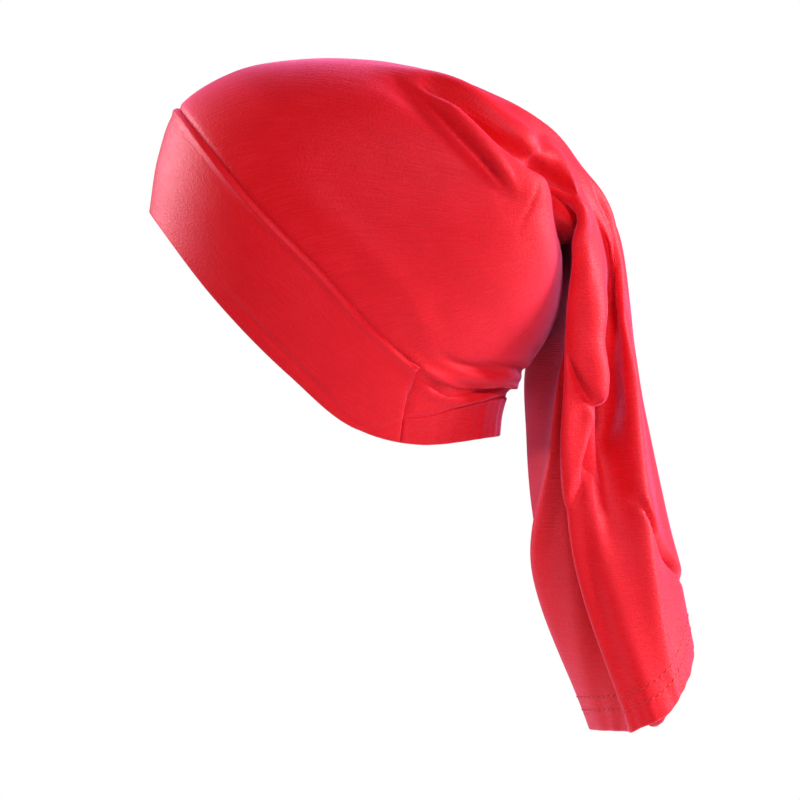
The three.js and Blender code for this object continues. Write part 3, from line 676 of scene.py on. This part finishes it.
def tube_grid():
    """Rows down the outer face, round the hem's fold, up the inner face and under the seam, where
    the cloth's edge tucks into the band. Between the band's ends the first rows run on up to the
    casing; elsewhere they lie in the tuck. The outer face dips towards the sewn edge, which draws
    the seam's dark groove, and the inner face is one layer lower over the depth of the hem."""
    near = np.linspace(0, BAND_END - 0.6, NEAR_COLUMNS)
    nape = [BAND_END - 0.45, BAND_END + 0.1, BAND_END + 0.7]
    between = np.linspace(BAND_END + 1.5, 358.5 - BAND_END, NAPE_COLUMNS)
    nape = np.concatenate([nape, between, 360 - np.array(nape[::-1])])
    far = np.linspace(360.6 - BAND_END, 360, FAR_COLUMNS + 1)[:-1]
    angle = np.concatenate([near, nape, far])
    at_nape = (angle > near[-1]) & (angle < far[0])
    rate = rate_at(angle, SEAM_STATION)
    hem_rate = rate_at(angle, HEM_STATION - 0.02)
    seam = SEAM_STATION + SEAM_GAP / 2 / rate
    casing_edge = casing_top(np.clip(angle, BAND_END, 360 - BAND_END)) + SEAM_GAP / 2 / rate
    near_edge = np.array(NEAR_EDGE)[:, None]
    up_wedge = casing_edge + np.concatenate([[[-TUCK_LENGTH]], near_edge]) / rate
    up_wedge = np.concatenate(
        [up_wedge, up_wedge[-1] + (seam - up_wedge[-1]) * np.linspace(0, 1, 16)[1:-1, None]]
    )
    in_tuck = seam - TUCK_LENGTH * np.linspace(1, 0.05, len(up_wedge))[:, None] / rate
    first = np.where(at_nape, up_wedge, in_tuck)
    edge = HEM_STATION - HEM_THICKNESS / 2 / hem_rate
    near_seam = seam + near_edge / rate
    fine = np.linspace(SEAM_STATION, HEM_STATION, 141)
    run = cloth_length(fine)
    pace = ((run - run[0]) / (run[-1] - run[0]), (fine - fine[0]) / (fine[-1] - fine[0]))
    going_down = np.interp(np.linspace(0, 1, OUTER_ROWS)[1:-1], *pace)[:, None]
    going_up = np.interp(np.linspace(1, 0, INNER_ROWS)[1:], *pace)[:, None]
    down = near_seam[-1] + (edge - near_seam[-1]) * going_down
    hem = edge + HEM_THICKNESS / 2 * np.cos(ROLL[::-1]) / hem_rate
    up = seam + (edge - seam) * going_up
    last = np.where(at_nape, up_wedge[UNDER_SEAM_ROWS], in_tuck[UNDER_SEAM_ROWS])
    station = np.concatenate([first, near_seam, down, hem, up, last])
    outside = len(first) + len(near_seam) + len(down)
    level = np.zeros(len(station))
    level[outside : outside + len(ROLL)] = HEM_THICKNESS / 2 * (np.sin(ROLL[::-1, 0]) - 1)
    level[outside + len(ROLL) :] = -JERSEY
    height = np.repeat(level[:, None], len(angle), 1)
    outer_face = np.arange(len(station))[:, None] < outside + 2
    off_end = np.minimum(angle - BAND_END, 360 - BAND_END - angle) * MM_PER_DEGREE
    over_seam = (station - seam) * rate
    from_band = np.where(at_nape, np.hypot(off_end, np.maximum(over_seam, 0)), over_seam)
    from_band = np.where(at_nape & (off_end < 0) & (station < seam), off_end, from_band)
    from_edge = np.where(at_nape, np.minimum(from_band, (station - casing_edge) * rate), from_band)
    dip = GROOVE * np.exp(-((np.maximum(from_edge, 0) / GROOVE_WIDTH) ** 2))
    dip = dip + TUCK_DEPTH * smooth(0, 1, -from_edge)
    height = height - dip * np.where(outer_face, 1, 0.5)
    from_hem = (HEM_STATION - station) * hem_rate
    layer = smooth(HEM_DEPTH + 0.8, HEM_DEPTH - 0.8, from_hem)
    inner_face = np.arange(len(station))[:, None] >= outside + len(ROLL)
    height = height - (HEM_THICKNESS - JERSEY) * layer * inner_face
    return angle, station, height


tube = wall("crown_tube_cloth", *tube_grid(), looped=True)
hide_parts("crown_tube")
tube.data.materials.append(viscose_jersey("viscose jersey", "#ce0608", "#c60406", "#da141c", hanging=True))

# Hem stitching
# Two rows of twin-needle stitches in a polyester thread of the cloth's colour, about 6 mm apart,
# that hold the turned hem of the tail all round.
STITCH_LENGTH = 2.6
STITCH_PITCH = 3.6
THREAD_RADIUS = 0.34
STITCH_ROWS = (10.2, 16.4)
THREAD_RISE = 0.3
THREAD_SINK = 0.22
THREAD_SIDES = 6
THREAD_STEPS = 7


def stitches(from_hem):
    """Stitches of one row: capsules of thread along the cloth, at equal steps of length round it.
    Each is a ring of points carried along a short arc that dips into the cloth at its ends."""
    fine = np.linspace(0, 360, 721)
    line = HEM_STATION - from_hem / rate_at(fine, HEM_STATION - 0.05)
    path = worn_form(fine, line[None])[0]
    length = np.concatenate([[0], np.cumsum(np.linalg.norm(np.diff(path, axis=0), axis=1))])
    count = int(length[-1] // STITCH_PITCH)
    centre = (np.arange(count) + 0.5) * length[-1] / count
    step = np.linspace(-0.5, 0.5, THREAD_STEPS)
    angle = np.interp(centre[:, None] + step * STITCH_LENGTH, length, fine)
    station = np.interp(angle, fine, line).reshape(1, -1)
    middle = worn_form(angle.reshape(-1), station).reshape(count, THREAD_STEPS, 3)
    normal = outward(worn_form, angle.reshape(-1), station).reshape(count, THREAD_STEPS, 3)
    tangent = np.gradient(middle, axis=1)
    tangent /= np.linalg.norm(tangent, axis=-1, keepdims=True)
    side = np.cross(normal, tangent)
    lift = THREAD_RISE * np.sqrt(np.clip(np.cos(step * math.pi), 0, 1)) - THREAD_SINK
    middle = middle + normal * lift[:, None]
    ring = np.radians(np.arange(THREAD_SIDES) * 360 / THREAD_SIDES)[:, None]
    width = np.sqrt(np.clip(1 - (2 * step) ** 4, 0.02, 1))[:, None, None] * THREAD_RADIUS
    around = np.cos(ring) * side[:, :, None] + np.sin(ring) * normal[:, :, None]
    return middle[:, :, None] + around * width


def thread_mesh(name, rows):
    """Joins the stitches of all rows: tubes of six sides closed by a face at each end."""
    rings = np.concatenate([stitches(from_hem) for from_hem in rows]) * MILLIMETRE
    count, along, sides, _ = rings.shape
    index = np.arange(count * along * sides).reshape(count, along, sides)
    turned = np.roll(index, -1, 2)
    quads = np.stack([index[:, :-1], index[:, 1:], turned[:, 1:], turned[:, :-1]], -1).reshape(-1, 4)
    ends = np.concatenate([index[:, 0], index[:, -1, ::-1]])
    mesh = bpy.data.meshes.new(name)
    mesh.from_pydata(rings.reshape(-1, 3).tolist(), [], quads.tolist() + ends.tolist())
    mesh.polygons.foreach_set("use_smooth", np.ones(len(mesh.polygons), bool))
    mesh.update()
    piece = bpy.data.objects.new(name, mesh)
    bpy.context.scene.collection.objects.link(piece)
    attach(piece, "root")
    return piece


def polyester_thread(name, base):
    """Polyester sewing thread: two twisted plies, a little glossier than the cloth. The twist is drawn
    at about 1.7 mm to the turn, which is coarser than the real one, so that it shows."""
    material = bpy.data.materials.new(name)
    material.use_nodes = True
    tree = material.node_tree
    tree.nodes.clear()
    place = add(tree, "ShaderNodeTexCoord")
    twist = add(
        tree,
        "ShaderNodeTexWave",
        {"bands_direction": "DIAGONAL"},
        {"Scale": 220.0},
        {"Vector": place.outputs["Object"]},
    )
    bump = add(
        tree,
        "ShaderNodeBump",
        sockets={"Strength": 0.4, "Distance": 0.0002},
        links={"Height": twist.outputs["Fac"]},
    )
    shader = add(
        tree,
        "ShaderNodeBsdfPrincipled",
        sockets={"Base Color": linear(base), "Roughness": 0.5},
        links={"Normal": bump.outputs[0]},
    )
    add(tree, "ShaderNodeOutputMaterial", links={"Surface": shader.outputs[0]})
    return material


thread = thread_mesh("hem_stitches", STITCH_ROWS)
thread.data.materials.append(polyester_thread("polyester sewing thread", "#b4060a"))

# Studio
# A plain pale floor well below the cap, faint white light from all round, three soft lights at the
# front, the back and the camera's side, and a camera square to the cap's left side.
CAMERA_DISTANCE = 3.0
PHOTO_PIXEL = 0.46 * MILLIMETRE
PHOTO_SIDE = 800
ORIGIN_PIXEL = (315, 62)

bpy.ops.mesh.primitive_circle_add(vertices=96, radius=1.6, fill_type="NGON", location=(0, 0.05, -0.46))
floor = bpy.context.object
floor.name = "floor"
paper = bpy.data.materials.new("pale paper")
paper.use_nodes = True
paper.node_tree.nodes["Principled BSDF"].inputs["Base Color"].default_value = linear("#f4f4f4")
paper.node_tree.nodes["Principled BSDF"].inputs["Roughness"].default_value = 0.9
floor.data.materials.append(paper)

world = bpy.data.worlds.new("white studio")
bpy.context.scene.world = world
world.use_nodes = True
room = world.node_tree
room.nodes.clear()
seen = add(room, "ShaderNodeLightPath")
soft = add(room, "ShaderNodeBackground", sockets={"Color": (1, 1, 1, 1), "Strength": 0.05})
white = add(room, "ShaderNodeBackground", sockets={"Color": (1, 1, 1, 1), "Strength": 1.0})
sky = add(
    room,
    "ShaderNodeMixShader",
    links={0: seen.outputs["Is Camera Ray"], 1: soft.outputs[0], 2: white.outputs[0]},
)
add(room, "ShaderNodeOutputWorld", links={"Surface": sky.outputs[0]})


def soft_light(name, place, target, size, power):
    """Square white area light at a place, turned to face its target."""
    data = bpy.data.lights.new(name, "AREA")
    data.size = size
    data.energy = power
    light = bpy.data.objects.new(name, data)
    bpy.context.scene.collection.objects.link(light)
    away = np.array(place) - np.array(target)
    light.location = place
    light.rotation_euler = (
        math.atan2(math.hypot(away[0], away[1]), away[2]),
        0,
        math.atan2(away[0], -away[1]),
    )


soft_light("front side light", (-0.2, -0.5, 0.08), (0, 0, -0.08), 0.3, 4.5)
soft_light("back side light", (-0.1, 1.25, 0.25), (0, 0.1, -0.15), 0.4, 28)
soft_light("camera side light", (1.6, 0.5, 0.95), (0, 0.02, -0.1), 0.35, 30)

camera_data = bpy.data.cameras.new("camera")
camera_data.sensor_width = 36.0
camera_data.lens = camera_data.sensor_width * CAMERA_DISTANCE / (PHOTO_SIDE * PHOTO_PIXEL)
camera = bpy.data.objects.new("camera", camera_data)
camera.location = (
    CAMERA_DISTANCE,
    (PHOTO_SIDE / 2 - ORIGIN_PIXEL[0]) * PHOTO_PIXEL,
    (ORIGIN_PIXEL[1] - PHOTO_SIDE / 2) * PHOTO_PIXEL,
)
camera.rotation_euler = (math.radians(90), 0, math.radians(90))
bpy.context.scene.collection.objects.link(camera)
bpy.context.scene.camera = camera
bpy.context.scene.view_settings.view_transform = "Standard"
